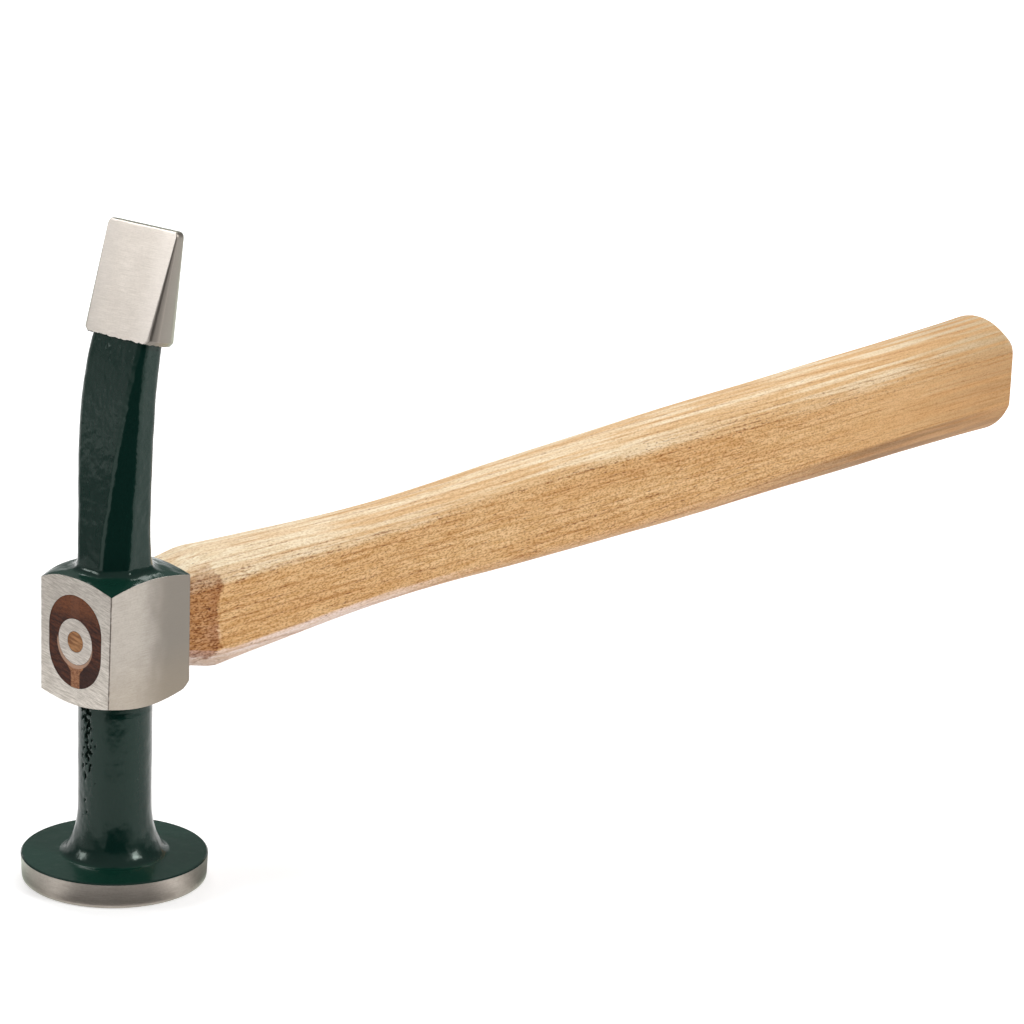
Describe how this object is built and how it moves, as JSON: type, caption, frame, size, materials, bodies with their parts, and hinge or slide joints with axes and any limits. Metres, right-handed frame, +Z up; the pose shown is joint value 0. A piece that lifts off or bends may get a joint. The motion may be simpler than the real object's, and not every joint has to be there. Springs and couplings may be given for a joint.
{
  "type": "auto body hammer",
  "caption": "Panel-beating hammer with a flat round face, a swept cross chisel and a wedged wooden handle.",
  "frame": {"origin": "centre of the round striking face", "axes": "+Z up the head from the striking face to the chisel, +X along the handle towards its butt, +Y across the head, square to the ground cheeks"},
  "size_m": [0.3382, 0.0384, 0.1362],
  "materials": {
    "head_paint": "glossy dark green over forged steel, working faces ground bare",
    "handle_wood": "satin oiled hickory",
    "wedge_wood": "oil-stained end grain",
    "ground_steel": "ground flush with the block"
  },
  "bodies": {
    "root": {"hammer_head": "head_paint", "handle": "handle_wood", "wooden_wedge": "wedge_wood", "ring_wedge": "ground_steel"}
  },
  "joints": []
}
